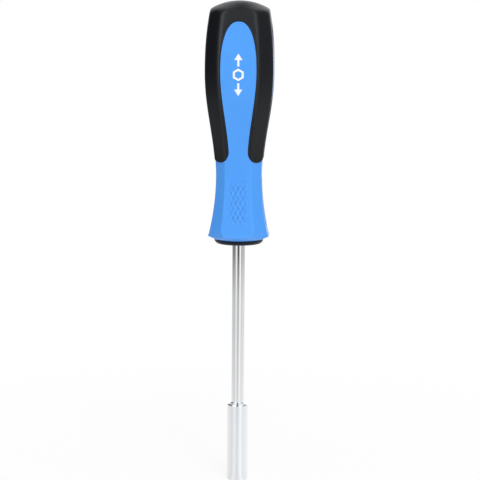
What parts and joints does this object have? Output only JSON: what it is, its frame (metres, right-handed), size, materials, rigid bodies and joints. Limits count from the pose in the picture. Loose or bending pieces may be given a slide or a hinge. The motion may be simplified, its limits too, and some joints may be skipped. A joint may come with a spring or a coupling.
{
  "type": "bit holder screwdriver",
  "caption": "Hand screwdriver with a hex bit sleeve on a round chrome-plated blade and a square-section handle of hard blue plastic with a soft black overmoulded grip.",
  "frame": {"origin": "on the tool's axis, in the plane of the bit sleeve's mouth", "axes": "+Z along the blade from the sleeve's mouth to the handle's dome, -Y and +X square to two of the handle's four flats"},
  "size_m": [0.0326, 0.0326, 0.2297],
  "materials": {
    "core_black": "hard black polypropylene, satin",
    "shell_blue": "hard bright blue polypropylene, satin",
    "grip_black": "soft black thermoplastic elastomer, fine matt grain",
    "blade_chrome": "polished chrome plate",
    "sleeve_steel": "turned steel, satin nickel plate",
    "magnet_nickel": "nickel-plated magnet",
    "ring_steel": "bright spring wire"
  },
  "bodies": {
    "screwdriver": {"inner_core": "core_black", "handle_shell": "shell_blue", "soft_grip": "grip_black", "blade_shaft": "blade_chrome", "bit_sleeve": "sleeve_steel", "magnet": "magnet_nickel"},
    "ring": {"snap_ring": "ring_steel"}
  },
  "joints": [
    {"name": "ring_turn", "type": "hinge", "parent": "screwdriver", "child": "ring", "pos_m": [0, 0, 0.005], "axis": [0, 0, 1], "continuous": true}
  ]
}
